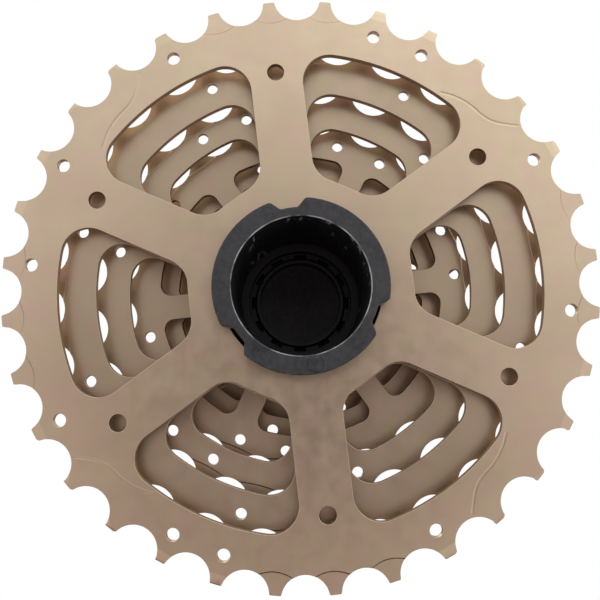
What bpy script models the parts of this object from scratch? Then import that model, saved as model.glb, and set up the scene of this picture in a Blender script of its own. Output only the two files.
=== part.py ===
"""Nine-speed bicycle cassette on the plastic core that carries it until it is fitted.

Metres, +Z up. The shared axis of all pieces is the world Y axis. The origin is on that axis,
in the back face of the largest sprocket; the sprockets get smaller towards +Y.
Angles are in degrees about the axis, from +X towards +Z.
"""
import math

import bmesh
import bpy

# Sprocket stack
TOOTH_COUNTS = (32, 28, 24, 21, 19, 17, 15, 13, 11)
FIRST_TOOTH_DEG = (6.47, 10.83, 17.45, 24.67, 30.9, 14.9, 12.0, 13.8, 16.4)
STACK_PITCH = 0.00435
PLATE = 0.00178
SEAT_GAP = 0.00015

# Teeth, for a half-inch chain
CHAIN_PITCH = 0.0127
SEAT_DROP = 0.0041
SEAT_RADIUS = 0.0052
SEAT_HALF_DEG = 76
SEAT_STEPS = 4
TOOTH_HEIGHT = 0.00454
TIP_HALF_WIDTH = 0.00118
GATE_EVERY = {32: 8}
GATE_SEATS = (3, 4, 5)
GATE_TURN_DEG = 0.35

# Windows: (first opening's middle, count, outer radius, inner radius, half arm, corner radius)
WINDOWS = {
    32: (6.7, 6, 0.0530, 0.0247, 0.0058, 0.0060),
    28: (6.6, 6, 0.0456, 0.0252, 0.0058, 0.0055),
    24: (6.5, 6, 0.0390, 0.0256, 0.0058, 0.0050),
    21: (21.0, 12, 0.0328, 0.0236, 0.0028, 0.0024),
    19: (21.0, 12, 0.0291, 0.0226, 0.0024, 0.0018),
}
LARGE_CORNER = 0.004
LARGE_STEPS = (3, 4)
SMALL_STEPS = (2, 2)

# Round holes: the arms of the largest sprocket, and the holes under some of the teeth
ARM_HOLES = {32: (6, 0.0488, 0.0019)}
TOOTH_HOLES = {
    32: (2, 5, 6, 10, 13, 15, 18, 21, 22, 26, 31),
    28: (4, 8, 12, 15, 19, 26),
    24: (2, 6, 7, 10, 14, 15, 18),
    21: (0, 2, 3, 7, 10, 13, 14, 20),
    19: (0, 4, 8, 12),
    17: (0, 3, 7, 10, 13),
}
TOOTH_HOLE_RADIUS = {32: 0.00140}
TOOTH_HOLE_RADIUS_SMALL = 0.00124
TOOTH_HOLE_DEPTH = {32: 0.0017}
TOOTH_HOLE_DEPTH_SMALL = 0.00205
TOOTH_HOLE_SIDES = 6
ARM_HOLE_SIDES = 8

# Splines between the sprockets and the core
SPLINES = 9
SPLINE_STEP_DEG = 360 / SPLINES
FIRST_SPLINE_DEG = 98.8
EMPTY_EVERY = 3
GROOVE_RADIUS = 0.01775
TAB_RADIUS = 0.01660
GROOVE_HALF_DEG = 10.2
CREST_RADIUS = 0.01735
CORE_RADIUS = 0.01625
CREST_HALF_DEG = 8.8
FOOT_HALF_DEG = 9.6

# Core
FLANGE_RADIUS = 0.01905
FLANGE_FRONT = -0.0047
FLANGE_BACK = -0.0003
NOTCH_DEPTH = 0.00215
NOTCH_RIM_HALF_DEG = 13.0
NOTCH_FLOOR_HALF_DEG = 5.5
NOTCH_STEPS = 8
RIM_STEPS = 9
CORE_BORE = 0.01490
CORE_END = 0.0362
THREAD_START = 0.0300
THREAD_BORE = 0.01555

# Spacer rings and collars
SPACER_OUTER = 0.0203
SPACER_INNER = 0.0178
COLLARS = {13: 0.0202, 11: 0.0183}

# Lock ring, its washer and the cap
WASHER_THICK = 0.0006
WASHER_INNER = 0.0156
WASHER_OUTER = 0.0172
LOCK_THREAD_RADIUS = 0.0153
LOCK_SLEEVE_LENGTH = 0.0056
LOCK_SLEEVE_BORE = 0.0131
LOCK_FLANGE_RADIUS = 0.0172
LOCK_FLANGE_THICK = 0.0019
LOCK_BORE = 0.0118
LOCK_LIP = 0.0040
TOOL_NOTCHES = 12
TOOL_NOTCH_DEPTH = 0.0010
TOOL_NOTCH_WIDTH = 0.0030
CAP_PLUG_OUTER = 0.0115
CAP_PLUG_INNER = 0.0105
CAP_PLUG_LENGTH = 0.0052
CAP_DISC_RADIUS = 0.0140
CAP_DISC_THICK = 0.0013

TURN_STEPS = 36
BORE_TURN_STEPS = 48
COLLECTION = "cassette_sprocket"
NICKEL = ("nickel_plate", (0.52, 0.44, 0.34), 0.42, 1.0)
BRIGHT = ("bright_nickel", (0.60, 0.58, 0.54), 0.30, 1.0)
COATED = ("black_coated_steel", (0.018, 0.018, 0.019), 0.38, 0.0)
PLASTIC = ("black_plastic", (0.030, 0.030, 0.032), 0.45, 0.0)
RING_PLASTIC = ("spacer_plastic", (0.022, 0.022, 0.024), 0.55, 0.0)


def sprocket_back(index):
    """Back face of a sprocket, counted from the largest."""
    return index * STACK_PITCH


STACK_FRONT = sprocket_back(len(TOOTH_COUNTS) - 1) + PLATE
WASHER_BACK = STACK_FRONT + SEAT_GAP
LOCK_BACK = WASHER_BACK + WASHER_THICK + SEAT_GAP
LOCK_FRONT = LOCK_BACK + LOCK_FLANGE_THICK
CAP_BACK = LOCK_FRONT + SEAT_GAP


# Scene helpers

def clear_scene():
    for thing in list(bpy.data.objects):
        bpy.data.objects.remove(thing, do_unlink=True)


def new_collection(name):
    group = bpy.data.collections.new(name)
    bpy.context.scene.collection.children.link(group)
    return group


def material(finish):
    name, colour, roughness, metallic = finish
    found = bpy.data.materials.get(name)
    if found:
        return found
    made = bpy.data.materials.new(name)
    made.use_nodes = True
    shader = made.node_tree.nodes["Principled BSDF"]
    shader.inputs["Base Color"].default_value = (*colour, 1.0)
    shader.inputs["Roughness"].default_value = roughness
    shader.inputs["Metallic"].default_value = metallic
    made.diffuse_color = (*colour, 1.0)
    return made


def polar(radius, degrees):
    turn = math.radians(degrees)
    return radius * math.cos(turn), radius * math.sin(turn)


def arc(centre, radius, start, end, steps):
    """Points on an arc, both ends included."""
    points = []
    for step in range(steps + 1):
        dx, dy = polar(radius, start + (end - start) * step / steps)
        points.append((centre[0] + dx, centre[1] + dy))
    return points


# Outlines, seen from the back of the cassette

def pitch_radius(teeth):
    return CHAIN_PITCH / (2 * math.sin(math.pi / teeth))


def root_radius(teeth):
    return pitch_radius(teeth) - SEAT_DROP


def seat_middle(teeth, first_deg, tooth):
    """Angle of the roller seat before a tooth; the seats at a shift gate sit a little ahead."""
    middle = first_deg + (tooth - 0.5) * 360 / teeth
    if teeth in GATE_EVERY and tooth % GATE_EVERY[teeth] in GATE_SEATS:
        middle += GATE_TURN_DEG
    return middle


def tooth_outline(teeth, first_deg):
    """Round roller seats with a narrow flat-topped tooth after each."""
    step = 360 / teeth
    root = root_radius(teeth)
    tip = root + TOOTH_HEIGHT
    tip_half = math.degrees(TIP_HALF_WIDTH / tip)
    points = []
    for tooth in range(teeth):
        seat = seat_middle(teeth, first_deg, tooth)
        centre = polar(root + SEAT_RADIUS, seat)
        opposite = seat + 180
        points += arc(centre, SEAT_RADIUS, opposite + SEAT_HALF_DEG, opposite - SEAT_HALF_DEG, SEAT_STEPS)
        middle = first_deg + tooth * step
        points.append(polar(tip, middle - tip_half))
        points.append(polar(tip, middle + tip_half))
    return points


def window_outline(middle, pitch, outer, inner, half_arm, corner):
    """Opening between two straight arms, with arcs at both ends and round corners."""
    corner_steps, edge_steps = LARGE_STEPS if corner > LARGE_CORNER else SMALL_STEPS
    right = middle - pitch / 2
    left = middle + pitch / 2
    far = outer - corner
    near = inner + corner
    far_turn = math.degrees(math.asin((half_arm + corner) / far))
    near_turn = math.degrees(math.asin((half_arm + corner) / near))
    points = arc(polar(far, right + far_turn), corner, right - 90, right + far_turn, corner_steps)
    points += arc((0, 0), outer, right + far_turn, left - far_turn, edge_steps)[1:-1]
    points += arc(polar(far, left - far_turn), corner, left - far_turn, left + 90, corner_steps)
    points += arc(polar(near, left - near_turn), corner, left + 90, left - near_turn + 180, corner_steps)
    points += arc(polar(near, right + near_turn), corner, right + near_turn + 180, right + 270, corner_steps)
    return points


def circle_outline(centre, radius, sides):
    return arc(centre, radius, 0, 360, sides)[:-1]


def bore_outline():
    """Nine grooves for the splines, with tabs between them."""
    points = []
    for spline in range(SPLINES):
        middle = FIRST_SPLINE_DEG + spline * SPLINE_STEP_DEG
        points.append(polar(TAB_RADIUS, middle - SPLINE_STEP_DEG / 2))
        points.append(polar(TAB_RADIUS, middle - GROOVE_HALF_DEG))
        points += arc((0, 0), GROOVE_RADIUS, middle - GROOVE_HALF_DEG, middle + GROOVE_HALF_DEG, 2)
        points.append(polar(TAB_RADIUS, middle + GROOVE_HALF_DEG))
    return points


def core_outline():
    """Splines on the core, left out at every third place."""
    points = []
    for spline in range(SPLINES):
        middle = FIRST_SPLINE_DEG + spline * SPLINE_STEP_DEG
        points.append(polar(CORE_RADIUS, middle - SPLINE_STEP_DEG / 2))
        if spline % EMPTY_EVERY == 0:
            points += arc((0, 0), CORE_RADIUS, middle - FOOT_HALF_DEG, middle + FOOT_HALF_DEG, 2)
            continue
        points.append(polar(CORE_RADIUS, middle - FOOT_HALF_DEG))
        points += arc((0, 0), CREST_RADIUS, middle - CREST_HALF_DEG, middle + CREST_HALF_DEG, 2)
        points.append(polar(CORE_RADIUS, middle + FOOT_HALF_DEG))
    return points


def notch_depth(offset_deg):
    """How far the flange's rim is cut in, at an angle from a notch's middle."""
    span = NOTCH_RIM_HALF_DEG - NOTCH_FLOOR_HALF_DEG
    blend = (NOTCH_RIM_HALF_DEG - abs(offset_deg)) / span
    blend = min(1.0, max(0.0, blend))
    return NOTCH_DEPTH * blend * blend * (3 - 2 * blend)


def flange_outline():
    points = []
    sector = SPLINE_STEP_DEG * EMPTY_EVERY
    for notch in range(SPLINES // EMPTY_EVERY):
        middle = FIRST_SPLINE_DEG + notch * sector
        for step in range(NOTCH_STEPS + 1):
            offset = NOTCH_RIM_HALF_DEG * (2 * step / NOTCH_STEPS - 1)
            points.append(polar(FLANGE_RADIUS - notch_depth(offset), middle + offset))
        rim = sector - 2 * NOTCH_RIM_HALF_DEG
        start = middle + NOTCH_RIM_HALF_DEG
        points += arc((0, 0), FLANGE_RADIUS, start, start + rim, RIM_STEPS)[1:-1]
    return points


# Solids

def extruded(name, loops, back, front, group):
    """Flat outlines, the first of them the outer one, given thickness along Y."""
    curve = bpy.data.curves.new(name, "CURVE")
    curve.dimensions = "2D"
    curve.fill_mode = "BOTH"
    curve.extrude = (front - back) / 2
    for loop in loops:
        spline = curve.splines.new("POLY")
        spline.points.add(len(loop) - 1)
        for point, (x, y) in zip(spline.points, loop):
            point.co = (x, y, 0, 1)
        spline.use_cyclic_u = True
    thing = bpy.data.objects.new(name, curve)
    thing.location = (0, (back + front) / 2, 0)
    thing.rotation_euler = (math.radians(90), 0, 0)
    group.objects.link(thing)
    return thing


def as_mesh(thing):
    """The same solid as a mesh with its caps joined, so that it can be cut."""
    bpy.context.view_layer.update()
    name = thing.name
    seen = thing.evaluated_get(bpy.context.evaluated_depsgraph_get())
    mesh = bpy.data.meshes.new_from_object(seen)
    work = bmesh.new()
    work.from_mesh(mesh)
    bmesh.ops.remove_doubles(work, verts=work.verts, dist=1e-7)
    bmesh.ops.recalc_face_normals(work, faces=work.faces)
    work.to_mesh(mesh)
    work.free()
    solid = bpy.data.objects.new(name + "_solid", mesh)
    solid.matrix_world = thing.matrix_world
    thing.users_collection[0].objects.link(solid)
    bpy.data.objects.remove(thing, do_unlink=True)
    solid.name = name
    return solid


def turned(name, profile, group, steps=TURN_STEPS):
    """A ring or a disc from a profile of (radius, y) that runs from front to back outside."""
    mesh = bpy.data.meshes.new(name)
    thing = bpy.data.objects.new(name, mesh)
    group.objects.link(thing)
    work = bmesh.new()
    verts = [work.verts.new((radius, y, 0)) for radius, y in profile]
    for first, second in zip(verts, verts[1:]):
        work.edges.new((first, second))
    closed = profile[0][0] > 0
    if closed:
        work.edges.new((verts[-1], verts[0]))
    work.to_mesh(mesh)
    work.free()
    screw = thing.modifiers.new("turn", "SCREW")
    screw.axis = "Y"
    screw.angle = math.tau
    screw.steps = steps
    screw.render_steps = steps
    screw.use_merge_vertices = True
    screw.merge_threshold = 0.00001
    screw.use_normal_calculate = False
    return thing


def combine(target, tool, operation):
    change = target.modifiers.new(operation.lower(), "BOOLEAN")
    change.operation = operation
    change.object = tool
    change.solver = "EXACT"
    tool.hide_render = True
    tool.display_type = "WIRE"


def finish(thing, look):
    thing.data.materials.clear()
    thing.data.materials.append(material(look))
    if thing.type == "MESH":
        thing.data.shade_smooth()
        thing.data.set_sharp_from_angle(angle=math.radians(35))


# Pieces

def sprocket_loops(teeth, first_deg):
    loops = [tooth_outline(teeth, first_deg)]
    if teeth in WINDOWS:
        first, count, outer, inner, half_arm, corner = WINDOWS[teeth]
        step = 360 / count
        for window in range(count):
            loops.append(window_outline(first + window * step, step, outer, inner, half_arm, corner))
    if teeth in ARM_HOLES:
        count, radius, size = ARM_HOLES[teeth]
        middle = WINDOWS[teeth][0] + 180 / count
        for arm in range(count):
            place = polar(radius, middle + arm * 360 / count)
            loops.append(circle_outline(place, size, ARM_HOLE_SIDES))
    depth = TOOTH_HOLE_DEPTH.get(teeth, TOOTH_HOLE_DEPTH_SMALL)
    size = TOOTH_HOLE_RADIUS.get(teeth, TOOTH_HOLE_RADIUS_SMALL)
    for tooth in TOOTH_HOLES.get(teeth, ()):
        place = polar(root_radius(teeth) - depth, first_deg + tooth * 360 / teeth)
        loops.append(circle_outline(place, size, TOOTH_HOLE_SIDES))
    return loops


def flat_sprocket(index, group):
    teeth = TOOTH_COUNTS[index]
    back = sprocket_back(index)
    loops = sprocket_loops(teeth, FIRST_TOOTH_DEG[index]) + [bore_outline()]
    thing = extruded(f"sprocket_{teeth}t", loops, back, back + PLATE, group)
    finish(thing, NICKEL)


def collared_sprocket(index, group, cutters):
    """A small sprocket whose own collar keeps it off the next one."""
    teeth = TOOTH_COUNTS[index]
    back = sprocket_back(index)
    collar_back = sprocket_back(index - 1) + PLATE + SEAT_GAP
    loops = sprocket_loops(teeth, FIRST_TOOTH_DEG[index])
    plate = as_mesh(extruded(f"sprocket_{teeth}t", loops, back, back + PLATE, group))
    radius = COLLARS[teeth]
    middle = back + PLATE / 2
    collar_profile = [(0, middle), (radius, middle), (radius, collar_back), (0, collar_back)]
    combine(plate, turned(f"collar_{teeth}t", collar_profile, cutters), "UNION")
    bore_front = back + 2 * PLATE
    bore = extruded(f"bore_{teeth}t", [bore_outline()], collar_back - PLATE, bore_front, cutters)
    combine(plate, as_mesh(bore), "DIFFERENCE")
    finish(plate, NICKEL)


def spacer(number, group):
    back = sprocket_back(number - 1) + PLATE + SEAT_GAP
    front = sprocket_back(number) - SEAT_GAP
    profile = [
        (SPACER_INNER, front),
        (SPACER_OUTER, front),
        (SPACER_OUTER, back),
        (SPACER_INNER, back),
    ]
    finish(turned(f"spacer_{number}", profile, group), RING_PLASTIC)


def core_sleeve(group, cutters):
    middle = (FLANGE_FRONT + FLANGE_BACK) / 2
    body = as_mesh(extruded("core_sleeve", [flange_outline()], FLANGE_FRONT, FLANGE_BACK, group))
    barrel = as_mesh(extruded("core_barrel", [core_outline()], middle, CORE_END, cutters))
    combine(body, barrel, "UNION")
    profile = [
        (0, CORE_END + PLATE),
        (THREAD_BORE, CORE_END + PLATE),
        (THREAD_BORE, THREAD_START),
        (CORE_BORE, THREAD_START),
        (CORE_BORE, FLANGE_FRONT - PLATE),
        (0, FLANGE_FRONT - PLATE),
    ]
    combine(body, turned("core_bore", profile, cutters, BORE_TURN_STEPS), "DIFFERENCE")
    finish(body, PLASTIC)


def lockring_washer(group):
    front = WASHER_BACK + WASHER_THICK
    profile = [
        (WASHER_INNER, front),
        (WASHER_OUTER, front),
        (WASHER_OUTER, WASHER_BACK),
        (WASHER_INNER, WASHER_BACK),
    ]
    finish(turned("lockring_washer", profile, group), BRIGHT)


def lockring(group, cutters):
    sleeve_end = LOCK_BACK - LOCK_SLEEVE_LENGTH
    lip = LOCK_FRONT - LOCK_LIP
    profile = [
        (LOCK_BORE, LOCK_FRONT),
        (LOCK_FLANGE_RADIUS, LOCK_FRONT),
        (LOCK_FLANGE_RADIUS, LOCK_BACK),
        (LOCK_THREAD_RADIUS, LOCK_BACK),
        (LOCK_THREAD_RADIUS, sleeve_end),
        (LOCK_SLEEVE_BORE, sleeve_end),
        (LOCK_SLEEVE_BORE, lip),
        (LOCK_BORE, lip),
    ]
    ring = turned("lockring", profile, group, BORE_TURN_STEPS)
    loop = []
    step = 360 / TOOL_NOTCHES
    half = math.degrees(TOOL_NOTCH_WIDTH / 2 / LOCK_BORE)
    inner = LOCK_BORE - TOOL_NOTCH_DEPTH
    outer = LOCK_BORE + TOOL_NOTCH_DEPTH
    for notch in range(TOOL_NOTCHES):
        middle = notch * step
        loop += [polar(inner, middle - half), polar(outer, middle - half)]
        loop += [polar(outer, middle + half), polar(inner, middle + half)]
    star = as_mesh(extruded("tool_notches", [loop], lip - PLATE, LOCK_FRONT + PLATE, cutters))
    combine(ring, star, "DIFFERENCE")
    finish(ring, COATED)


def core_cap(group):
    plug_end = CAP_BACK - CAP_PLUG_LENGTH
    front = CAP_BACK + CAP_DISC_THICK
    profile = [
        (0, front),
        (CAP_DISC_RADIUS, front),
        (CAP_DISC_RADIUS, CAP_BACK),
        (CAP_PLUG_OUTER, CAP_BACK),
        (CAP_PLUG_OUTER, plug_end),
        (CAP_PLUG_INNER, plug_end),
        (CAP_PLUG_INNER, CAP_BACK),
        (0, CAP_BACK),
    ]
    finish(turned("core_cap", profile, group), PLASTIC)


def main():
    clear_scene()
    group = new_collection(COLLECTION)
    cutters = new_collection("cutters")
    for index, teeth in enumerate(TOOTH_COUNTS):
        if teeth in COLLARS:
            collared_sprocket(index, group, cutters)
        else:
            flat_sprocket(index, group)
            if index:
                spacer(index, group)
    core_sleeve(group, cutters)
    lockring_washer(group)
    lockring(group, cutters)
    core_cap(group)


main()
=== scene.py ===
"""Nine-speed bicycle cassette: fine pieces, finishes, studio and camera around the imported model.

Metres, +Z up. The shared axis of all pieces is the world Y axis, and the sprockets get smaller
towards +Y. Angles are in degrees about the axis, from +X towards +Z. Places along Y come from
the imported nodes' boxes.
"""
import math

import bmesh
import bpy
from mathutils import Matrix, Vector


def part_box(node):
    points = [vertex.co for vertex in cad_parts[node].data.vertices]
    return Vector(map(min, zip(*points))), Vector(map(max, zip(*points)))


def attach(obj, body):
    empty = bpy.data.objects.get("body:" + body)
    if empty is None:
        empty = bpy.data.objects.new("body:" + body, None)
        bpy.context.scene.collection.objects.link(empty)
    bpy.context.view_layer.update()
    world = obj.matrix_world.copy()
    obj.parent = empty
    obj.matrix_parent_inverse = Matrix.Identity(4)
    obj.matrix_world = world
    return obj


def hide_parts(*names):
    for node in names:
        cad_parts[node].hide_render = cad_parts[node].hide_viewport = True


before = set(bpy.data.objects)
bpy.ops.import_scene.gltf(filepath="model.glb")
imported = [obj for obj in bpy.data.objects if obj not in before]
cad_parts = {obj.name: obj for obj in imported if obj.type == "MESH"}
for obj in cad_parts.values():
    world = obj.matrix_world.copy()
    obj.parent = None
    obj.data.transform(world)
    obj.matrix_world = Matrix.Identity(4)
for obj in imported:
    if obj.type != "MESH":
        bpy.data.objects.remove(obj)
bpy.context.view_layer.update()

# Teeth, for a half-inch chain
TOOTH_COUNTS = (32, 28, 24, 21, 19, 17, 15, 13, 11)
FIRST_TOOTH_DEG = (6.47, 10.83, 17.45, 24.67, 30.9, 14.9, 12.0, 13.8, 16.4)
CHAIN_PITCH = 0.0127
SEAT_DROP = 0.0041
SEAT_RADIUS = 0.0052
SEAT_HALF_DEG = 76
SEAT_STEPS = 20
TOOTH_HEIGHT = 0.00454
TIP_HALF_WIDTH = 0.00118
GATE_EVERY = {32: 8}
GATE_SEATS = (3, 4, 5)
GATE_TURN_DEG = 0.35
TIP_ROUND = 0.00022
TIP_BAND = 0.00060
TIP_BAND_DEPTH = 0.00034
TIP_BAND_MARGIN = 0.3

# Coined marks on the back faces: (gate length in teeth, teeth with each kind of mark)
COINED = {
    32: (8, {"step": (7, 0, 1), "tip": (2, 5, 6), "corner": (3, 4)}),
    28: (7, {"step": (6, 0), "tip": (2, 5), "corner": (3,)}),
    24: (8, {"step": (7, 0), "tip": (2, 5), "corner": (3, 4)}),
    21: (7, {"step": (6, 0), "tip": (2, 5), "corner": (3,)}),
    19: (5, {"step": (0,), "tip": (2,), "corner": (3,)}),
}
STEP_DEPTH = 0.00030
STEP_HALF = 0.0043
STEP_LEAN = 0.0005
STEP_SHAPES = {32: (0.00048, 66.0)}
STEP_SHAPE_SMALL = (0.00030, 16.0)
FOOT_STEPS = 12
TIP_START = 0.0023
TIP_SLOPE = 0.10
TIP_CUT_HALF = TIP_HALF_WIDTH * 2
CORNER_SLOPE = 0.20
CORNER_CUT_LOW = -TIP_HALF_WIDTH * 1.5
CORNER_CUT_HIGH = TIP_HALF_WIDTH * 0.7

# Shallow grooves across the rim at the gates: (degrees from the gate's first tooth, depth below the root)
RIM_GROOVES = {32: (8, 3)}
GROOVE_PATH = (
    (-3.3, 0.0003),
    (-1.5, 0.0022),
    (0.8, 0.0040),
    (3.2, 0.0048),
    (7.0, 0.0050),
    (11.0, 0.0057),
    (14.5, 0.0069),
)
GROOVE_TUBE = 0.0020
GROOVE_CUT = 0.00007
GROOVE_RESOLUTION = 6

# Shift ramps on the front faces, in evenly spaced pairs
GATES = 4
RAMP_SHAPE = (0.00170, 150.0)
RAMP_DEPTH = 0.00040

# Windows: (first opening's middle, count, outer radius, inner radius, half arm, corner radius)
WINDOWS = {
    32: (6.7, 6, 0.0530, 0.0247, 0.0058, 0.0060),
    28: (6.6, 6, 0.0456, 0.0252, 0.0058, 0.0055),
    24: (6.5, 6, 0.0390, 0.0256, 0.0058, 0.0050),
    21: (21.0, 12, 0.0328, 0.0236, 0.0028, 0.0024),
    19: (21.0, 12, 0.0291, 0.0226, 0.0024, 0.0018),
}
CORNER_STEPS = 14
EDGE_STEPS = 30

# Round holes: the arms of the largest sprocket, and the holes under some of the teeth
ARM_HOLES = {32: (6, 0.0488, 0.0019)}
TOOTH_HOLES = {
    32: (2, 5, 6, 10, 13, 15, 18, 21, 22, 26, 31),
    28: (4, 8, 12, 15, 19, 26),
    24: (2, 6, 7, 10, 14, 15, 18),
    21: (0, 2, 3, 7, 10, 13, 14, 20),
    19: (0, 4, 8, 12),
    17: (0, 3, 7, 10, 13),
}
TOOTH_HOLE_RADIUS = {32: 0.00140}
TOOTH_HOLE_RADIUS_SMALL = 0.00124
TOOTH_HOLE_DEPTH = {32: 0.0017}
TOOTH_HOLE_DEPTH_SMALL = 0.00205
HOLE_SIDES = 40

# Splines between the sprockets and the core
SPLINES = 9
SPLINE_STEP_DEG = 360 / SPLINES
FIRST_SPLINE_DEG = 98.8
EMPTY_EVERY = 3
GROOVE_RADIUS = 0.01775
TAB_RADIUS = 0.01660
GROOVE_HALF_DEG = 10.2
CREST_RADIUS = 0.01735
CORE_RADIUS = 0.01625
CREST_HALF_DEG = 8.8
FOOT_HALF_DEG = 9.6
SPLINE_ROUND = 0.00018
SPLINE_TOP_STEPS = 10
SPLINE_SIDE_STEPS = 6
SPLINE_EMPTY_STEPS = 16

# Core
NOTCH_DEPTH = 0.00215
NOTCH_RIM_HALF_DEG = 13.0
NOTCH_FLOOR_HALF_DEG = 5.5
NOTCH_STEPS = 28
RIM_STEPS = 48
CORE_BORE = 0.01490
THREAD_START = 0.0300
THREAD_BORE = 0.01555
FLANGE_THICK = 0.0044
BORE_CHAMFER = 0.00022
BORE_RIM = CORE_BORE + 3 * BORE_CHAMFER
EJECTOR_DEG = 280.1
EJECTOR_PLACE = 0.01690
EJECTOR_RADIUS = 0.00175
EJECTOR_GROOVE = 0.00010
EJECTOR_SIDES = 6

# Lock ring, washer and cap
THREAD_PITCH = 0.0254 / 24
THREAD_DEPTH = 0.00045
LOCK_SLEEVE_BORE = 0.0131
LOCK_BORE = 0.0118
LOCK_LIP = 0.0040
LOCK_FLANGE_THICK = 0.0019
LOCK_THREAD_RADIUS = 0.0153
THREAD_STEPS = 60
TOOL_NOTCHES = 12
TOOL_NOTCH_DEPTH = 0.0010
TOOL_NOTCH_WIDTH = 0.0030
CAP_PLUG_OUTER = 0.0115
CAP_PLUG_INNER = 0.0105
CAP_DISC_THICK = 0.0013
CAP_DISH = 0.0003
CAP_DISH_INSET = 3 * 0.0012
CAP_LAND_INSET = 2.6 * 0.0012
CAP_FRONT_ROUND = 0.0004
CAP_BACK_ROUND = 0.0002
CAP_PLUG_ROUND = 0.0003
WASHER_INNER = 0.0156
SPACER_INNER = 0.0178
SPACERS = 6

# Collars that two small sprockets carry in place of a spacer
COLLARS = {13: 0.0202, 11: 0.0183}

# Edges
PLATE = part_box("sprocket_32t")[1].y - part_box("sprocket_32t")[0].y
PLATE_EDGE = 0.00008
WEDGE_LEAD = PLATE / 8
FLANGE_EDGE = 0.00030
RING_EDGE = 0.00020
WASHER_EDGE_PARTS = 5

# Mesh steps, and the tests that sort vertices, edges and faces
TURN_STEPS = 144
BAND_STEPS = 256
ROUND_STEPS = 3
FINE_ROUND_STEPS = 4
MERGE_DISTANCE = 1e-7
SAME_RADIUS = 1e-9
SHARP_DEG = 38
FLAT_COSINE = 0.9995
WALL_COSINE = 0.3

# Metal finishes: (light tone, dark tone, warm tone, roughness)
PLATED_NICKEL = ((0.66, 0.54, 0.415), (0.585, 0.475, 0.355), (0.62, 0.475, 0.375), 0.34)
# Darker copy of the plate for every sprocket behind the largest: painted shade where the sprockets in front
# keep the light off
INNER_NICKEL_PAINTED_SHADE = ((0.53, 0.43, 0.325), (0.46, 0.37, 0.275), (0.50, 0.375, 0.29), 0.36)
# Darker copy of the plate for the cut walls inside the tooth roots: painted shade on the walls of windows,
# holes and bore
WALLS_PAINTED_SHADE = ((0.50, 0.41, 0.34), (0.38, 0.30, 0.25), (0.44, 0.34, 0.29), 0.50)
BRIGHT_NICKEL = ((0.64, 0.62, 0.58), (0.56, 0.54, 0.50), (0.60, 0.57, 0.52), 0.28)
PINKISH = (1.0, 0.90, 0.90)
OLIVE = (0.95, 0.98, 0.82)

# Black finishes: (light tone, dark tone, roughness), and for moulded plastic (grain depth, scuffs)
COATED_STEEL = ((0.009, 0.009, 0.010), (0.005, 0.005, 0.006), 0.50)
CORE_PLASTIC = ((0.027, 0.028, 0.032), (0.013, 0.014, 0.017), 0.42, 0.00004, 0.8)
# Darker copy of the core's plastic for the inside of its bore: painted shade
BORE_PLASTIC_PAINTED_SHADE = ((0.014, 0.015, 0.016), (0.008, 0.008, 0.009), 0.50)
# Pale tone for the bore's front bevel: a painted highlight
EDGE_PAINTED_HIGHLIGHT = ((0.40, 0.40, 0.39), (0.05, 0.05, 0.05), 0.38)
CAP_PLASTIC = ((0.013, 0.013, 0.014), (0.008, 0.008, 0.009), 0.50, 0.00003, 0.3)
RING_PLASTIC = ((0.026, 0.026, 0.028), (0.018, 0.018, 0.020), 0.50, 0.00004, 0.3)
DUST = (0.060, 0.061, 0.064)
SCRATCH = (0.22, 0.22, 0.21)

# Floor
FLOOR_Z = -0.60
FLOOR_HALF = 1.75
FLOOR_SEGMENTS = 128
FLOOR_ROUGHNESS = 0.9
FLOOR_TONES = ((0.86, 0.85, 0.84), (0.89, 0.88, 0.87))

# World light: each range is (from, to, level at from, level at to)
BELOW_LIGHT = (-0.92, -0.55, 0.05, 1.0)
HEIGHT_LIGHT = (-0.30, 0.36, 0.73, 1.12)
SIDE_LIGHT = (-0.5, 0.5, 0.92, 1.08)
LENS_AIM = (0.0, -1.0, 0.0)
LENS_LIGHT = (0.999, 0.935, 0.0, 1.0)
BEHIND_LIGHT = (-0.05, 0.4, 1.0, 0.62)
LOW_TINT = (1.16, 0.75, 0.71)
HIGH_TINT = (1.0, 0.995, 0.995)

# Area lights, aimed at the origin: (place, size, power)
KEY_LIGHT = ((0.45, -0.70, 0.95), (1.3, 1.3), 1.6)
BACK_LIGHT = ((-0.70, 1.10, 0.90), (1.2, 1.2), 9)

# Camera
CAMERA_PLACE = (-0.00110, -0.16811, -0.01958)
CAMERA_AIM = (0.00516, 0.99500, 0.09977)
SENSOR_WIDTH = 36.0
FOCAL_LENGTH = 46.69
CLIP_START = 0.01
CLIP_END = 50.0


# Plane geometry

def polar(radius, degrees):
    turn = math.radians(degrees)
    return radius * math.cos(turn), radius * math.sin(turn)


def arc(centre, radius, start, end, steps):
    """Points on an arc, both ends included."""
    points = []
    for step in range(steps + 1):
        dx, dy = polar(radius, start + (end - start) * step / steps)
        points.append((centre[0] + dx, centre[1] + dy))
    return points


def round_corner(before, corner, after, radius, steps):
    """Points of the arc that takes the place of the corner between two straight edges."""
    corner = Vector(corner)
    first = (Vector(before) - corner).normalized()
    second = (Vector(after) - corner).normalized()
    half = first.angle(second) / 2
    centre = corner + (first + second).normalized() * radius / math.sin(half)
    reach = radius / math.tan(half)
    start = corner + first * reach - centre
    end = corner + second * reach - centre
    start_deg = math.degrees(math.atan2(start.y, start.x))
    turn = (math.degrees(math.atan2(end.y, end.x)) - start_deg + 180) % 360 - 180
    return arc(centre, radius, start_deg, start_deg + turn, steps)


def rounded(points, radius, steps=ROUND_STEPS):
    """A closed outline with all its corners rounded alike."""
    result = []
    for number, corner in enumerate(points):
        following = points[(number + 1) % len(points)]
        result += round_corner(points[number - 1], corner, following, radius, steps)
    return result


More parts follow.
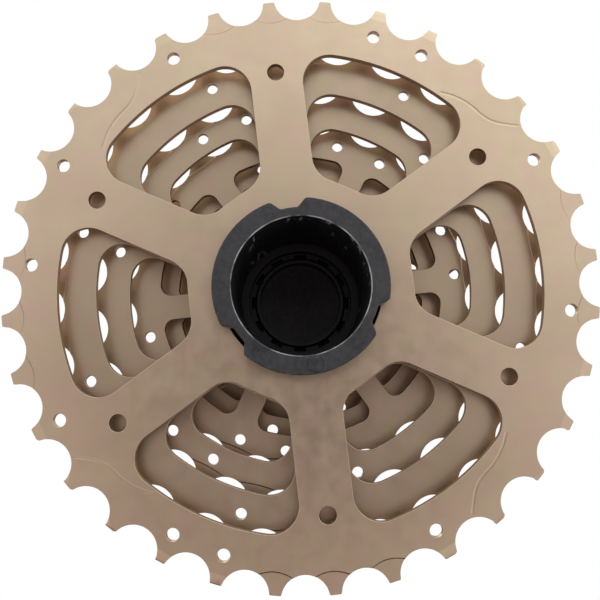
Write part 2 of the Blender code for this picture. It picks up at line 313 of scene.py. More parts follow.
def on_tooth(teeth, first_deg, tooth, across, radius):
    """A point given by its place across a tooth and its radius, as plane coordinates."""
    turn = math.radians(first_deg + tooth * 360 / teeth)
    x = radius * math.cos(turn) - across * math.sin(turn)
    y = radius * math.sin(turn) + across * math.cos(turn)
    return x, y


# Outlines, seen from the back of the cassette

def pitch_radius(teeth):
    return CHAIN_PITCH / (2 * math.sin(math.pi / teeth))


def root_radius(teeth):
    return pitch_radius(teeth) - SEAT_DROP


def tip_radius(teeth):
    return root_radius(teeth) + TOOTH_HEIGHT


def seat_middle(teeth, first_deg, tooth):
    """Angle of the roller seat before a tooth; the seats at a shift gate sit a little ahead."""
    middle = first_deg + (tooth - 0.5) * 360 / teeth
    if teeth in GATE_EVERY and tooth % GATE_EVERY[teeth] in GATE_SEATS:
        middle += GATE_TURN_DEG
    return middle


def tooth_outline(teeth, first_deg):
    """Round roller seats with a narrow tooth, round at its two corners, after each."""
    step = 360 / teeth
    root = root_radius(teeth)
    tip = tip_radius(teeth)
    tip_half = math.degrees(TIP_HALF_WIDTH / tip)
    seats = []
    for tooth in range(teeth):
        seat = seat_middle(teeth, first_deg, tooth)
        centre = polar(root + SEAT_RADIUS, seat)
        opposite = seat + 180
        seats.append(arc(centre, SEAT_RADIUS, opposite + SEAT_HALF_DEG, opposite - SEAT_HALF_DEG, SEAT_STEPS))
    points = []
    for tooth in range(teeth):
        middle = first_deg + tooth * step
        right = polar(tip, middle - tip_half)
        left = polar(tip, middle + tip_half)
        following = seats[(tooth + 1) % teeth]
        points += seats[tooth]
        points += round_corner(seats[tooth][-1], right, left, TIP_ROUND, FINE_ROUND_STEPS)
        points += round_corner(right, left, following[0], TIP_ROUND, FINE_ROUND_STEPS)
    return points


def window_outline(middle, pitch, outer, inner, half_arm, corner):
    """Opening between two straight arms, with arcs at both ends and round corners."""
    right = middle - pitch / 2
    left = middle + pitch / 2
    far = outer - corner
    near = inner + corner
    far_turn = math.degrees(math.asin((half_arm + corner) / far))
    near_turn = math.degrees(math.asin((half_arm + corner) / near))
    points = arc(polar(far, right + far_turn), corner, right - 90, right + far_turn, CORNER_STEPS)
    points += arc((0, 0), outer, right + far_turn, left - far_turn, EDGE_STEPS)[1:-1]
    points += arc(polar(far, left - far_turn), corner, left - far_turn, left + 90, CORNER_STEPS)
    points += arc(polar(near, left - near_turn), corner, left + 90, left - near_turn + 180, CORNER_STEPS)
    points += arc(polar(near, right + near_turn), corner, right + near_turn + 180, right + 270, CORNER_STEPS)
    return points


def circle_outline(centre, radius, sides=HOLE_SIDES):
    return arc(centre, radius, 0, 360, sides)[:-1]


def spline_outline(high, low, high_half, low_half, present):
    """Raised or cut steps at the nine spline places, with arcs between them."""
    points = []
    for spline in range(SPLINES):
        middle = FIRST_SPLINE_DEG + spline * SPLINE_STEP_DEG
        start = middle - SPLINE_STEP_DEG / 2
        if not present(spline):
            points += arc((0, 0), low, start, start + SPLINE_STEP_DEG, SPLINE_EMPTY_STEPS)[:-1]
            continue
        corners = [polar(low, middle - low_half), polar(high, middle - high_half)]
        corners += [polar(high, middle + high_half), polar(low, middle + low_half)]
        before = polar(low, middle - low_half - 1)
        after = polar(low, middle + low_half + 1)
        top = arc((0, 0), high, middle - high_half, middle + high_half, SPLINE_TOP_STEPS)
        points += arc((0, 0), low, start, middle - low_half, SPLINE_SIDE_STEPS)[:-1]
        points += round_corner(before, corners[0], corners[1], SPLINE_ROUND, ROUND_STEPS)
        points += round_corner(corners[0], corners[1], top[1], SPLINE_ROUND, ROUND_STEPS)
        points += top[1:-1]
        points += round_corner(top[-2], corners[2], corners[3], SPLINE_ROUND, ROUND_STEPS)
        points += round_corner(corners[2], corners[3], after, SPLINE_ROUND, ROUND_STEPS)
        points += arc((0, 0), low, middle + low_half, start + SPLINE_STEP_DEG, SPLINE_SIDE_STEPS)[1:-1]
    return points


def bore_outline():
    return spline_outline(GROOVE_RADIUS, TAB_RADIUS, GROOVE_HALF_DEG, GROOVE_HALF_DEG, lambda spline: True)


def core_outline():
    """Splines on the core, left out at every third place."""
    return spline_outline(CREST_RADIUS, CORE_RADIUS, CREST_HALF_DEG, FOOT_HALF_DEG,
                          lambda spline: spline % EMPTY_EVERY)


def notch_depth(offset_deg):
    """How far the flange's rim is cut in, at an angle from a notch's middle."""
    span = NOTCH_RIM_HALF_DEG - NOTCH_FLOOR_HALF_DEG
    blend = (NOTCH_RIM_HALF_DEG - abs(offset_deg)) / span
    blend = min(1.0, max(0.0, blend))
    return NOTCH_DEPTH * blend * blend * (3 - 2 * blend)


def flange_outline(radius):
    points = []
    sector = SPLINE_STEP_DEG * EMPTY_EVERY
    for notch in range(SPLINES // EMPTY_EVERY):
        middle = FIRST_SPLINE_DEG + notch * sector
        for step in range(NOTCH_STEPS + 1):
            offset = NOTCH_RIM_HALF_DEG * (2 * step / NOTCH_STEPS - 1)
            points.append(polar(radius - notch_depth(offset), middle + offset))
        rim = sector - 2 * NOTCH_RIM_HALF_DEG
        start = middle + NOTCH_RIM_HALF_DEG
        points += arc((0, 0), radius, start, start + rim, RIM_STEPS)[1:-1]
    return points


# Solids

def link(name, mesh):
    thing = bpy.data.objects.new(name, mesh)
    bpy.context.scene.collection.objects.link(thing)
    return thing


def bake(thing):
    """The object as it evaluates, as a plain mesh in world space with its caps joined."""
    bpy.context.view_layer.update()
    name = thing.name
    seen = thing.evaluated_get(bpy.context.evaluated_depsgraph_get())
    mesh = bpy.data.meshes.new_from_object(seen)
    mesh.transform(thing.matrix_world)
    work = bmesh.new()
    work.from_mesh(mesh)
    bmesh.ops.remove_doubles(work, verts=work.verts, dist=MERGE_DISTANCE)
    bmesh.ops.recalc_face_normals(work, faces=work.faces)
    work.to_mesh(mesh)
    work.free()
    bpy.data.objects.remove(thing, do_unlink=True)
    mesh.name = name
    return link(name, mesh)


def extruded(name, loops, back, front, edge=0.0, edge_steps=1):
    """Flat outlines, the first of them the outer one, given thickness along Y and round edges."""
    curve = bpy.data.curves.new(name, "CURVE")
    curve.dimensions = "2D"
    curve.fill_mode = "BOTH"
    curve.extrude = (front - back) / 2 - edge
    curve.bevel_depth = edge
    curve.bevel_resolution = edge_steps
    curve.offset = -edge
    for loop in loops:
        spline = curve.splines.new("POLY")
        spline.points.add(len(loop) - 1)
        for point, (x, y) in zip(spline.points, loop):
            point.co = (x, y, 0, 1)
        spline.use_cyclic_u = True
    thing = link(name, curve)
    thing.location = (0, (back + front) / 2, 0)
    thing.rotation_euler = (math.radians(90), 0, 0)
    return bake(thing)


def turned(name, profile, steps=TURN_STEPS, shape=None):
    """A ring or a disc from a profile of (radius, y); shape may move each point by its angle."""
    mesh = bpy.data.meshes.new(name)
    work = bmesh.new()
    rings = []
    for radius, y in profile:
        ring = []
        for step in range(steps if radius > 0 else 1):
            degrees = 360 * step / steps
            place = shape(radius, y, degrees) if shape else (radius, y)
            x, z = polar(place[0], degrees)
            ring.append(work.verts.new((x, place[1], z)))
        rings.append(ring)
    pairs = list(zip(rings, rings[1:]))
    if profile[0][0] > 0:
        pairs.append((rings[-1], rings[0]))
    for first, second in pairs:
        for step in range(steps):
            ahead = (step + 1) % steps
            corners = [first[step % len(first)], first[ahead % len(first)]]
            corners += [second[ahead % len(second)], second[step % len(second)]]
            work.faces.new(dict.fromkeys(corners))
    bmesh.ops.recalc_face_normals(work, faces=work.faces)
    work.to_mesh(mesh)
    work.free()
    return link(name, mesh)


def joined(name, things):
    """Several meshes as one object."""
    work = bmesh.new()
    for thing in things:
        work.from_mesh(thing.data)
        bpy.data.objects.remove(thing, do_unlink=True)
    mesh = bpy.data.meshes.new(name)
    work.to_mesh(mesh)
    work.free()
    return link(name, mesh)


def combined(target, tool, operation):
    change = target.modifiers.new(operation.lower(), "BOOLEAN")
    change.operation = operation
    change.object = tool
    change.solver = "EXACT"
    result = bake(target)
    bpy.data.objects.remove(tool, do_unlink=True)
    return result


def finish(thing, look, body, node=None, others=()):
    """Smooth shading beside flat faces, the material, and the body and node that the piece is for.

    others holds further materials, each with a test that says which faces take it."""
    mesh = thing.data
    mesh.materials.clear()
    mesh.materials.append(look)
    for other, _ in others:
        mesh.materials.append(other)
    mesh.shade_smooth()
    mesh.set_sharp_from_angle(angle=math.radians(SHARP_DEG))
    for face in mesh.polygons:
        face.use_smooth = abs(face.normal.y) < FLAT_COSINE
        for number, (_, test) in enumerate(others):
            if test(face):
                face.material_index = number + 1
    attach(thing, body)
    if node:
        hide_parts(node)


def distance(face):
    """How far a face's middle is from the shared axis."""
    return math.hypot(face.center.x, face.center.z)


# Materials

class Look:
    """A Principled material with short calls for its nodes."""

    def __init__(self, name, metallic, roughness):
        self.material = bpy.data.materials.new(name)
        self.material.use_nodes = True
        self.tree = self.material.node_tree
        self.shader = self.tree.nodes["Principled BSDF"]
        self.shader.inputs["Metallic"].default_value = metallic
        self.shader.inputs["Roughness"].default_value = roughness
        self.place = self.tree.nodes.new("ShaderNodeTexCoord").outputs["Object"]

    def wire(self, source, target):
        self.tree.links.new(source, target)

    def stretched(self, scale, turn=(0, 0, 0)):
        node = self.tree.nodes.new("ShaderNodeMapping")
        node.inputs["Scale"].default_value = scale
        node.inputs["Rotation"].default_value = turn
        self.wire(self.place, node.inputs["Vector"])
        return node.outputs["Vector"]

    def noise(self, scale, detail=2.0, roughness=0.5, place=None, distortion=0.0):
        node = self.tree.nodes.new("ShaderNodeTexNoise")
        node.inputs["Scale"].default_value = scale
        node.inputs["Detail"].default_value = detail
        node.inputs["Roughness"].default_value = roughness
        node.inputs["Distortion"].default_value = distortion
        self.wire(place or self.place, node.inputs["Vector"])
        return node.outputs["Fac"]

    def spread(self, value, low, high, start=0.0, end=1.0):
        """Maps the range low to high of a value to start to end."""
        node = self.tree.nodes.new("ShaderNodeMapRange")
        node.inputs["From Min"].default_value = low
        node.inputs["From Max"].default_value = high
        node.inputs["To Min"].default_value = start
        node.inputs["To Max"].default_value = end
        self.wire(value, node.inputs["Value"])
        return node.outputs["Result"]

    def math(self, operation, first, second):
        node = self.tree.nodes.new("ShaderNodeMath")
        node.operation = operation
        for socket, value in zip(node.inputs, (first, second)):
            if isinstance(value, (int, float)):
                socket.default_value = value
            else:
                self.wire(value, socket)
        return node.outputs["Value"]

    def mix(self, share, first, second, blend="MIX"):
        node = self.tree.nodes.new("ShaderNodeMix")
        node.data_type = "RGBA"
        node.blend_type = blend
        sockets = {s.identifier: s for s in node.inputs}
        values = (("Factor_Float", share), ("A_Color", first), ("B_Color", second))
        for name, value in values:
            if isinstance(value, tuple):
                sockets[name].default_value = (*value, 1.0)
            elif isinstance(value, (int, float)):
                sockets[name].default_value = value
            else:
                self.wire(value, sockets[name])
        return next(s for s in node.outputs if s.identifier == "Result_Color")

    def colour(self, value):
        self.wire(value, self.shader.inputs["Base Color"])

    def roughness(self, value):
        self.wire(value, self.shader.inputs["Roughness"])

    def bump(self, layers):
        """Stacks (height, distance, strength) layers into the shader's normal."""
        normal = None
        for height, distance, strength in layers:
            node = self.tree.nodes.new("ShaderNodeBump")
            node.inputs["Distance"].default_value = distance
            node.inputs["Strength"].default_value = strength
            self.wire(height, node.inputs["Height"])
            if normal:
                self.wire(normal, node.inputs["Normal"])
            normal = node.outputs["Normal"]
        self.wire(normal, self.shader.inputs["Normal"])


def nickel(name, light, dark, warm, roughness):
    """Satin nickel plate: soft cloudy tone, a few warmer areas, fine grain and faint rolling marks."""
    look = Look(name, 1.0, roughness)
    clouds = look.spread(look.noise(38, 3, 0.55, distortion=0.4), 0.32, 0.68)
    small = look.spread(look.noise(260, 3, 0.6), 0.35, 0.65)
    warmth = look.spread(look.noise(70, 2, 0.5, place=look.stretched((1.0, 1.0, 1.6))), 0.45, 0.75, 0.0, 0.5)
    rolled = look.noise(1, 3, 0.6, place=look.stretched((900, 900, 60), (0, 0.35, 0)))
    base = look.mix(clouds, dark, light)
    base = look.mix(look.math("MULTIPLY", small, 0.22), base, dark)
    base = look.mix(warmth, base, warm)
    turned_place = look.stretched((1.0, 1.0, 1.0), (0.9, 0.4, 0.2))
    hue = look.spread(look.noise(210, 2, 0.5, place=turned_place), 0.38, 0.62)
    base = look.mix(0.5, base, look.mix(hue, PINKISH, OLIVE), "MULTIPLY")
    speckle = look.spread(look.noise(1500, 3, 0.7), 0.35, 0.70)
    base = look.mix(look.math("MULTIPLY", speckle, 0.16), base, dark)
    look.colour(base)
    rough = look.spread(small, 0, 1, roughness - 0.020, roughness + 0.030)
    look.roughness(look.math("ADD", rough, look.spread(rolled, 0.3, 0.7, -0.006, 0.008)))
    grain = look.noise(5200, 2, 0.6)
    look.bump(((grain, 0.000004, 0.25), (rolled, 0.000003, 0.08)))
    return look.material


def coated_steel(name, light, dark, roughness):
    """Black coated steel with a cloudy sheen and a fine dusty grain."""
    look = Look(name, 0.0, roughness)
    clouds = look.spread(look.noise(120, 3, 0.6), 0.3, 0.7)
    look.colour(look.mix(clouds, dark, light))
    look.roughness(look.spread(clouds, 0, 1, roughness - 0.05, roughness + 0.06))
    look.bump(((look.noise(4200, 2, 0.6), 0.00001, 0.5),))
    return look.material


def plastic(name, light, dark, roughness, grain_depth, scuffs):
    """Moulded black plastic with a fine texture, cloudy gloss, dusty specks and thin pale scratches."""
    look = Look(name, 0.0, roughness)
    clouds = look.spread(look.noise(160, 4, 0.65), 0.32, 0.68)
    mottle = look.spread(look.noise(900, 4, 0.7), 0.42, 0.70)
    lines = look.noise(1, 2, 0.5, place=look.stretched((260, 5200, 260), (0.5, 0.0, 0.4)), distortion=0.2)
    patches = look.spread(look.noise(150, 2, 0.5), 0.5, 0.62)
    scratch = look.math("MULTIPLY", look.spread(lines, 0.70, 0.76), patches)
    base = look.mix(clouds, dark, light)
    base = look.mix(look.math("MULTIPLY", mottle, 0.45), base, DUST)
    look.colour(look.mix(look.math("MULTIPLY", scratch, scuffs), base, SCRATCH))
    look.roughness(look.spread(clouds, 0, 1, roughness - 0.06, roughness + 0.05))
    grain = look.noise(2600, 3, 0.65)
    look.bump(((grain, grain_depth, 0.5), (scratch, 0.00002, 0.6)))
    return look.material


def scored_plastic(name, light, dark, roughness):
    """The core's bore: darker plastic as painted shade, with pale scores along the axis where a freehub has
    scraped it.
    """
    look = Look(name, 0.0, roughness)
    clouds = look.spread(look.noise(120, 3, 0.6), 0.3, 0.7)
    lines = look.noise(1, 2, 0.55, place=look.stretched((900, 110, 900)), distortion=0.35)
    patch_place = look.stretched((1.0, 0.4, 1.0), (0.83, 0.0, 0.29))
    patches = look.spread(look.noise(95, 2, 0.5, place=patch_place), 0.53, 0.61)
    scores = look.math("MULTIPLY", look.spread(lines, 0.57, 0.62), patches)
    base = look.mix(clouds, dark, light)
    look.colour(look.mix(scores, base, SCRATCH))
    look.roughness(look.spread(clouds, 0, 1, roughness - 0.05, roughness + 0.05))
    look.bump(((look.noise(2600, 3, 0.65), 0.00002, 0.5), (scores, 0.00003, 0.6)))
    return look.material


def painted_highlight_plastic(name, light, dark, roughness):
    """A moulded edge painted pale in patches: a painted highlight."""
    look = Look(name, 0.0, roughness)
    highlight_patches = look.spread(look.noise(180, 3, 0.6), 0.38, 0.60)
    look.colour(look.mix(highlight_patches, dark, light))
    look.roughness(look.spread(highlight_patches, 0, 1, roughness + 0.1, roughness - 0.05))
    look.bump(((look.noise(3000, 2, 0.6), 0.00001, 0.5),))
    return look.material


# Pieces

def sprocket_loops(teeth, first_deg):
    loops = [tooth_outline(teeth, first_deg)]
    if teeth in WINDOWS:
        first, count, outer, inner, half_arm, corner = WINDOWS[teeth]
        step = 360 / count
        for window in range(count):
            loops.append(window_outline(first + window * step, step, outer, inner, half_arm, corner))
    if teeth in ARM_HOLES:
        count, radius, size = ARM_HOLES[teeth]
        middle = WINDOWS[teeth][0] + 180 / count
        for arm in range(count):
            loops.append(circle_outline(polar(radius, middle + arm * 360 / count), size))
    depth = TOOTH_HOLE_DEPTH.get(teeth, TOOTH_HOLE_DEPTH_SMALL)
    size = TOOTH_HOLE_RADIUS.get(teeth, TOOTH_HOLE_RADIUS_SMALL)
    for tooth in TOOTH_HOLES.get(teeth, ()):
        place = polar(root_radius(teeth) - depth, first_deg + tooth * 360 / teeth)
        loops.append(circle_outline(place, size))
    return loops


def tip_band(name, teeth, back, front):
    """Cutting ring that bevels the tips of all the teeth, on both faces."""
    tip = tip_radius(teeth)
    slope = TIP_BAND_DEPTH / TIP_BAND
    inner = tip - TIP_BAND * (1 + TIP_BAND_MARGIN)
    outer = tip + TIP_BAND
    rings = []
    for number, (face, side) in enumerate(((back, -1), (front, 1))):
        low = face + side * slope * TIP_BAND * TIP_BAND_MARGIN
        high = face - side * slope * TIP_BAND * 2
        profile = [(inner, low), (outer, high), (outer, low)]
        rings.append(turned(f"{name}_{number}", profile, BAND_STEPS))
    return joined(name, rings)


def wedge(name, first, second, reach, slope, face):
    """Cutter below a plane that leaves a face along a line and gets deeper to the line's right."""
    first = Vector(first)
    second = Vector(second)
    along = (second - first).normalized()
    across = Vector((along.y, -along.x))
    start = WEDGE_LEAD
    section = ((-start, -start * slope), (reach, reach * slope), (reach, -PLATE))
    mesh = bpy.data.meshes.new(name)
    work = bmesh.new()
    ends = []
    for end in (first - along * PLATE, second + along * PLATE):
        ring = []
        for out, depth in section:
            place = end + across * out
            ring.append(work.verts.new((place.x, face + depth, place.y)))
        ends.append(ring)
    for number in range(len(section)):
        ahead = (number + 1) % len(section)
        work.faces.new((ends[0][number], ends[0][ahead], ends[1][ahead], ends[1][number]))
    work.faces.new(ends[0])
    work.faces.new(ends[1])
    bmesh.ops.recalc_face_normals(work, faces=work.faces)
    work.to_mesh(mesh)
    work.free()
    return link(name, mesh)


def foot_cutter(name, teeth, first_deg, tooth, shape, low, high, slope):
    """Cutter for a tooth and its foot, outside an arc, with walls that slope at 45 degrees."""
    root = root_radius(teeth)
    drop, curve = shape
    outline = []
    for number in range(FOOT_STEPS + 1):
        across = STEP_HALF * (2 * number / FOOT_STEPS - 1)
        radius = root - drop + curve * (across + STEP_LEAN) ** 2
        outline.append(on_tooth(teeth, first_deg, tooth, across, radius))
    for across in (STEP_HALF, -STEP_HALF):
        outline.append(on_tooth(teeth, first_deg, tooth, across, root + 2 * TOOTH_HEIGHT))
    return extruded(name, [outline], low, high, slope, 0)


def shift_ramps(teeth, first_deg, face):
    """Cutters for the ramps on a sprocket's front face, two teeth at each gate."""
    cutters = []
    for gate in range(GATES):
        for tooth in (round(gate * teeth / GATES), round(gate * teeth / GATES) + 1):
            cutters.append(foot_cutter(f"ramp_{tooth}", teeth, first_deg, tooth, RAMP_SHAPE,
                                       face - RAMP_DEPTH, face + PLATE, RAMP_DEPTH))
    return joined("shift_ramps", cutters)


def rim_grooves(teeth, first_deg, face):
    """Bent round bars, nearly all outside the back face, that cut the shallow grooves."""
    every, start = RIM_GROOVES[teeth]
    root = root_radius(teeth)
    curve = bpy.data.curves.new("rim_grooves", "CURVE")
    curve.dimensions = "3D"
    curve.bevel_depth = GROOVE_TUBE
    curve.bevel_resolution = GROOVE_RESOLUTION
    curve.use_fill_caps = True
    curve.resolution_u = GROOVE_RESOLUTION
    for tooth in range(start, teeth, every):
        middle = first_deg + tooth * 360 / teeth
        spline = curve.splines.new("BEZIER")
        spline.bezier_points.add(len(GROOVE_PATH) - 1)
        for point, (turn, depth) in zip(spline.bezier_points, GROOVE_PATH):
            x, z = polar(root - depth, middle + turn)
            point.co = (x, face + GROOVE_CUT - GROOVE_TUBE, z)
            point.handle_left_type = "AUTO"
            point.handle_right_type = "AUTO"
    return bake(link("rim_grooves", curve))


def coined_marks(teeth, first_deg, face):
    """All the cutters for a sprocket's back face: foot steps, sloping tips and cut corners."""
    every, kinds = COINED[teeth]
    root = root_radius(teeth)
    tip = tip_radius(teeth)
    cutters = []
    for tooth in range(teeth):
        name = f"mark_{tooth}"
        place = tooth % every
        if place in kinds["step"]:
            shape = STEP_SHAPES.get(teeth, STEP_SHAPE_SMALL)
            cutters.append(foot_cutter(name, teeth, first_deg, tooth, shape,
                                       face - PLATE, face + STEP_DEPTH, STEP_DEPTH))
        if place in kinds["tip"]:
            right = on_tooth(teeth, first_deg, tooth, -TIP_CUT_HALF, root + TIP_START)
            left = on_tooth(teeth, first_deg, tooth, TIP_CUT_HALF, root + TIP_START)
            cutters.append(wedge(name, right, left, TOOTH_HEIGHT, TIP_SLOPE, face))
        if place in kinds["corner"]:
            low = on_tooth(teeth, first_deg, tooth, CORNER_CUT_LOW, root + TIP_START)
            high = on_tooth(teeth, first_deg, tooth, CORNER_CUT_HIGH, tip)
            cutters.append(wedge(name, low, high, TOOTH_HEIGHT / 2, CORNER_SLOPE, face))
    return joined("coined_marks", cutters)


def sprocket(index, look, wall):
    teeth = TOOTH_COUNTS[index]
    node = f"sprocket_{teeth}t"
    name = f"toothed_plate_{teeth}t"
    low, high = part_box(node)
    front = high.y
    back = front - PLATE
    loops = sprocket_loops(teeth, FIRST_TOOTH_DEG[index]) + [bore_outline()]
    plate = extruded(name, loops, back, front, PLATE_EDGE)
    plate = combined(plate, tip_band("tip_band", teeth, back, front), "DIFFERENCE")
    if teeth in COINED:
        plate = combined(plate, coined_marks(teeth, FIRST_TOOTH_DEG[index], back), "DIFFERENCE")
    if teeth in RIM_GROOVES:
        plate = combined(plate, rim_grooves(teeth, FIRST_TOOTH_DEG[index], back), "DIFFERENCE")
    plate = combined(plate, shift_ramps(teeth, FIRST_TOOTH_DEG[index], front), "DIFFERENCE")
    # Walls inside the tooth roots take the darker wall copy: painted shade
    inside = root_radius(teeth) - PLATE / 4
    finish(plate, look, node, node,
           [(wall, lambda face: abs(face.normal.y) < WALL_COSINE and distance(face) < inside)])
    if back - low.y > PLATE / 2:
        outline = circle_outline((0, 0), COLLARS[teeth], TURN_STEPS)
        collar = extruded(f"collar_{teeth}t", [outline, bore_outline()], low.y, back, PLATE_EDGE)
        finish(collar, look, node)


def spacer(number, look):
    node = f"spacer_{number}"
    low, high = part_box(node)
    outer = high.x
    corners = [(SPACER_INNER, high.y), (outer, high.y), (outer, low.y), (SPACER_INNER, low.y)]
    profile = rounded(corners, RING_EDGE)
    finish(turned(f"spacer_ring_{number}", profile), look, node, node)


def core_sleeve(look, shaded_bore_look, edge_highlight):
    node = "core_sleeve"
    low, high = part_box(node)
    flange_front = low.y
    flange_back = low.y + FLANGE_THICK
    middle = (flange_front + flange_back) / 2
    body = extruded("moulded_core", [flange_outline(high.x)], flange_front, flange_back, FLANGE_EDGE, 2)
    barrel = extruded("core_barrel", [core_outline()], middle, high.y, PLATE_EDGE)
    body = combined(body, barrel, "UNION")
    beyond = PLATE
    profile = [
        (0, high.y + beyond),
        (THREAD_BORE, high.y + beyond),
        (THREAD_BORE, THREAD_START),
        (CORE_BORE, THREAD_START),
        (CORE_BORE, flange_front + BORE_CHAMFER),
        (CORE_BORE + BORE_CHAMFER + beyond, flange_front - beyond),
        (0, flange_front - beyond),
    ]
    body = combined(body, turned("core_hollow", profile, 2 * TURN_STEPS), "DIFFERENCE")
    body = combined(body, ejector_ring(flange_front), "DIFFERENCE")
    finish(body, look, node, node, [
        # The bore's walls take the darker bore plastic: painted shade
        (shaded_bore_look, lambda face: distance(face) < BORE_RIM and abs(face.normal.y) < WALL_COSINE),
        # The bore's front bevel takes the pale edge material: a painted highlight
        (edge_highlight, lambda face: distance(face) < BORE_RIM and WALL_COSINE < -face.normal.y < FLAT_COSINE),
    ])


def ejector_ring(face):
    """Cutting ring for the round mark that a mould's ejector pin leaves on the flange."""
    profile = circle_outline((EJECTOR_RADIUS, 0), EJECTOR_GROOVE, EJECTOR_SIDES)
    ring = turned("ejector_ring", profile, HOLE_SIDES)
    x, z = polar(EJECTOR_PLACE, EJECTOR_DEG)
    ring.data.transform(Matrix.Translation((x, face, z)))
    return ring


def lockring_washer(look):
    node = "lockring_washer"
    low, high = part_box(node)
    outer = high.x
    edge = (high.y - low.y) / WASHER_EDGE_PARTS
    profile = rounded([(WASHER_INNER, high.y), (outer, high.y), (outer, low.y), (WASHER_INNER, low.y)], edge)
    finish(turned("knurled_washer", profile, 2 * TURN_STEPS), look, node, node)


def thread(radius, y, degrees, start, end):
    """Radius of a helical thread's surface, faded out at both of its ends."""
    turn = (y / THREAD_PITCH + degrees / 360) % 1.0
    wave = abs(2 * turn - 1)
    fade = min(1.0, (y - start) / THREAD_PITCH, (end - y) / THREAD_PITCH)
    return radius - THREAD_DEPTH * wave * max(0.0, fade)


def lockring(look):
    node = "lockring"
    low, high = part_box(node)
    flange_back = high.y - LOCK_FLANGE_THICK
    lip = high.y - LOCK_LIP
    outer = high.x
    corners = [(LOCK_BORE, high.y), (outer, high.y), (outer, flange_back), (LOCK_BORE, flange_back)]
    flange = rounded(corners, RING_EDGE)
    quarter = len(flange) // 4
    profile = flange[:3 * quarter]
    for step in range(THREAD_STEPS + 1):
        profile.append((LOCK_THREAD_RADIUS, flange_back + (low.y - flange_back) * step / THREAD_STEPS))
    profile += [(LOCK_SLEEVE_BORE, low.y), (LOCK_SLEEVE_BORE, lip), (LOCK_BORE, lip)]

    def shape(radius, y, degrees):
        if abs(radius - LOCK_THREAD_RADIUS) < SAME_RADIUS:
            return thread(radius, y, degrees, low.y, flange_back), y
        return radius, y

    ring = turned("threaded_lockring", profile, 2 * TURN_STEPS, shape)
    loop = []
    step = 360 / TOOL_NOTCHES
    half_turn = math.degrees(TOOL_NOTCH_WIDTH / 2 / LOCK_BORE)
    inner = LOCK_BORE - TOOL_NOTCH_DEPTH
    notch_outer = LOCK_BORE + TOOL_NOTCH_DEPTH
    for notch in range(TOOL_NOTCHES):
        middle = notch * step
        loop += [polar(inner, middle - half_turn), polar(notch_outer, middle - half_turn)]
        loop += [polar(notch_outer, middle + half_turn), polar(inner, middle + half_turn)]
    star = extruded("tool_notches", [loop], lip - PLATE, high.y + PLATE)
    ring = combined(ring, star, "DIFFERENCE")
    finish(ring, look, node, node)


def core_cap(look):
    node = "core_cap"
    low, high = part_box(node)
    disc_back = high.y - CAP_DISC_THICK
    disc = high.x
    dish = high.y - CAP_DISH
    front_edge = (disc, high.y)
    back_edge = (disc, disc_back)
    plug_foot = (CAP_PLUG_OUTER, disc_back)
    plug_edge = (CAP_PLUG_OUTER, low.y)
    profile = [(0, dish), (disc - CAP_DISH_INSET, dish), (disc - CAP_LAND_INSET, high.y)]
    profile += round_corner(profile[-1], front_edge, back_edge, CAP_FRONT_ROUND, FINE_ROUND_STEPS)
    profile += round_corner(front_edge, back_edge, plug_foot, CAP_BACK_ROUND, ROUND_STEPS)
    profile += [plug_foot]
    profile += round_corner(plug_foot, plug_edge, (CAP_PLUG_INNER, low.y), CAP_PLUG_ROUND, ROUND_STEPS)
    profile += [(CAP_PLUG_INNER, low.y), (CAP_PLUG_INNER, disc_back), (0, disc_back)]
    finish(turned("plug_cap", profile), look, node, node)


# Studio

def ramp(tree, value, low, high, start, end):
    """Maps the range low to high of a value smoothly to start to end."""
    node = tree.nodes.new("ShaderNodeMapRange")
    node.interpolation_type = "SMOOTHSTEP"
    node.inputs["From Min"].default_value = low
    node.inputs["From Max"].default_value = high
    node.inputs["To Min"].default_value = start
    node.inputs["To Max"].default_value = end
    tree.links.new(value, node.inputs["Value"])
    return node.outputs["Result"]


def product(tree, first, second):
    node = tree.nodes.new("ShaderNodeMath")
    node.operation = "MULTIPLY"
    tree.links.new(first, node.inputs[0])
    tree.links.new(second, node.inputs[1])
    return node.outputs["Value"]


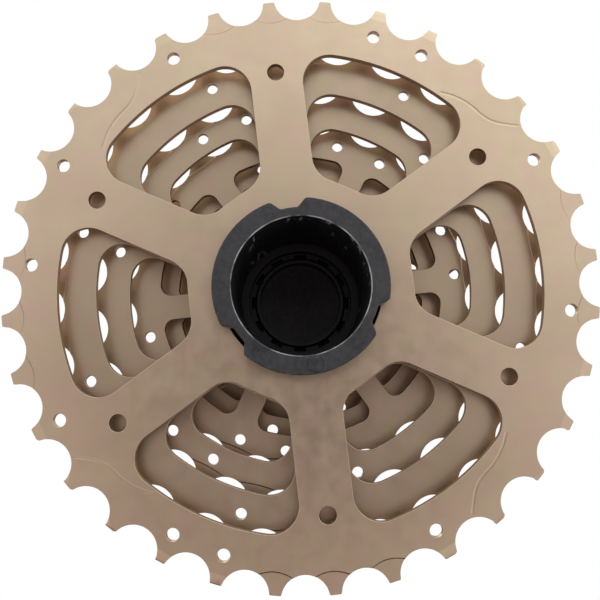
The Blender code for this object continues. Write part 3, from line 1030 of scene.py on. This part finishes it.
def studio_world():
    """White backdrop; as a light, it is dimmer low down and in the dark round the lens in front."""
    world = bpy.data.worlds.new("studio")
    bpy.context.scene.world = world
    world.use_nodes = True
    tree = world.node_tree
    place = tree.nodes.new("ShaderNodeTexCoord").outputs["Generated"]
    split = tree.nodes.new("ShaderNodeSeparateXYZ")
    tree.links.new(place, split.inputs["Vector"])
    height = ramp(tree, split.outputs["Z"], *HEIGHT_LIGHT)
    side = ramp(tree, split.outputs["X"], *SIDE_LIGHT)
    towards = tree.nodes.new("ShaderNodeVectorMath")
    towards.operation = "DOT_PRODUCT"
    tree.links.new(place, towards.inputs[0])
    towards.inputs[1].default_value = LENS_AIM
    lens = ramp(tree, towards.outputs["Value"], *LENS_LIGHT)
    behind = ramp(tree, split.outputs["Y"], *BEHIND_LIGHT)
    below = ramp(tree, split.outputs["Z"], *BELOW_LIGHT)
    level = product(tree, product(tree, height, side), product(tree, lens, behind))
    level = product(tree, level, below)
    tint = tree.nodes.new("ShaderNodeMix")
    tint.data_type = "RGBA"
    sockets = {s.identifier: s for s in tint.inputs}
    sockets["A_Color"].default_value = (*LOW_TINT, 1.0)
    sockets["B_Color"].default_value = (*HIGH_TINT, 1.0)
    tree.links.new(level, sockets["Factor_Float"])
    soft = tree.nodes["Background"]
    tree.links.new(next(s for s in tint.outputs if s.identifier == "Result_Color"), soft.inputs["Color"])
    tree.links.new(level, soft.inputs["Strength"])
    plain = tree.nodes.new("ShaderNodeBackground")
    path = tree.nodes.new("ShaderNodeLightPath")
    choice = tree.nodes.new("ShaderNodeMixShader")
    tree.links.new(path.outputs["Is Camera Ray"], choice.inputs["Fac"])
    tree.links.new(soft.outputs["Background"], choice.inputs[1])
    tree.links.new(plain.outputs["Background"], choice.inputs[2])
    plain.inputs["Color"].default_value = (1.0, 1.0, 1.0, 1.0)
    tree.links.new(choice.outputs["Shader"], tree.nodes["World Output"].inputs["Surface"])


def floor():
    mesh = bpy.data.meshes.new("floor")
    work = bmesh.new()
    bmesh.ops.create_circle(work, cap_ends=True, segments=FLOOR_SEGMENTS, radius=FLOOR_HALF)
    work.to_mesh(mesh)
    work.free()
    thing = link("floor", mesh)
    thing.location = (0, 0, FLOOR_Z)
    look = Look("floor_paper", 0.0, FLOOR_ROUGHNESS)
    tone = look.spread(look.noise(3, 2, 0.5), 0.3, 0.7)
    look.colour(look.mix(tone, *FLOOR_TONES))
    mesh.materials.append(look.material)
    thing.visible_glossy = False


def soft_light(name, place, size, power):
    lamp = bpy.data.lights.new(name, "AREA")
    lamp.shape = "RECTANGLE"
    lamp.size = size[0]
    lamp.size_y = size[1]
    lamp.energy = power
    thing = bpy.data.objects.new(name, lamp)
    bpy.context.scene.collection.objects.link(thing)
    thing.location = place
    aim = -Vector(place)
    thing.rotation_euler = aim.to_track_quat("-Z", "Y").to_euler()


def camera():
    lens = bpy.data.cameras.new("camera")
    lens.sensor_width = SENSOR_WIDTH
    lens.lens = FOCAL_LENGTH
    lens.clip_start = CLIP_START
    lens.clip_end = CLIP_END
    thing = bpy.data.objects.new("camera", lens)
    bpy.context.scene.collection.objects.link(thing)
    thing.location = CAMERA_PLACE
    thing.rotation_euler = Vector(CAMERA_AIM).to_track_quat("-Z", "Y").to_euler()
    bpy.context.scene.camera = thing


def main():
    plated = nickel("satin_nickel", *PLATED_NICKEL)
    # Darker copy of the plate: painted shade on the sprockets behind the largest
    inner = nickel("inner_nickel_painted_shade", *INNER_NICKEL_PAINTED_SHADE)
    # Darker copy of the plate for the walls: painted shade
    walls = nickel("walls_painted_shade", *WALLS_PAINTED_SHADE)
    bright = nickel("bright_nickel", *BRIGHT_NICKEL)
    coated = coated_steel("coated_steel", *COATED_STEEL)
    core = plastic("core_plastic", *CORE_PLASTIC)
    # Darker copy of the core's plastic for its bore: painted shade, with real scores
    bore = scored_plastic("bore_plastic_painted_shade", *BORE_PLASTIC_PAINTED_SHADE)
    # Pale edge material: a painted highlight on the bore's bevel
    edge_highlight = painted_highlight_plastic("edge_painted_highlight", *EDGE_PAINTED_HIGHLIGHT)
    black = plastic("cap_plastic", *CAP_PLASTIC)
    rings = plastic("ring_plastic", *RING_PLASTIC)
    # Every sprocket but the largest takes the darker copy, as painted shade
    for index in range(len(TOOTH_COUNTS)):
        sprocket(index, inner if index else plated, walls)
    for number in range(1, SPACERS + 1):
        spacer(number, rings)
    core_sleeve(core, bore, edge_highlight)
    lockring_washer(bright)
    lockring(coated)
    core_cap(black)
    studio_world()
    floor()
    soft_light("key", *KEY_LIGHT)
    soft_light("back", *BACK_LIGHT)
    camera()
    bpy.context.scene.view_settings.view_transform = "Standard"


main()
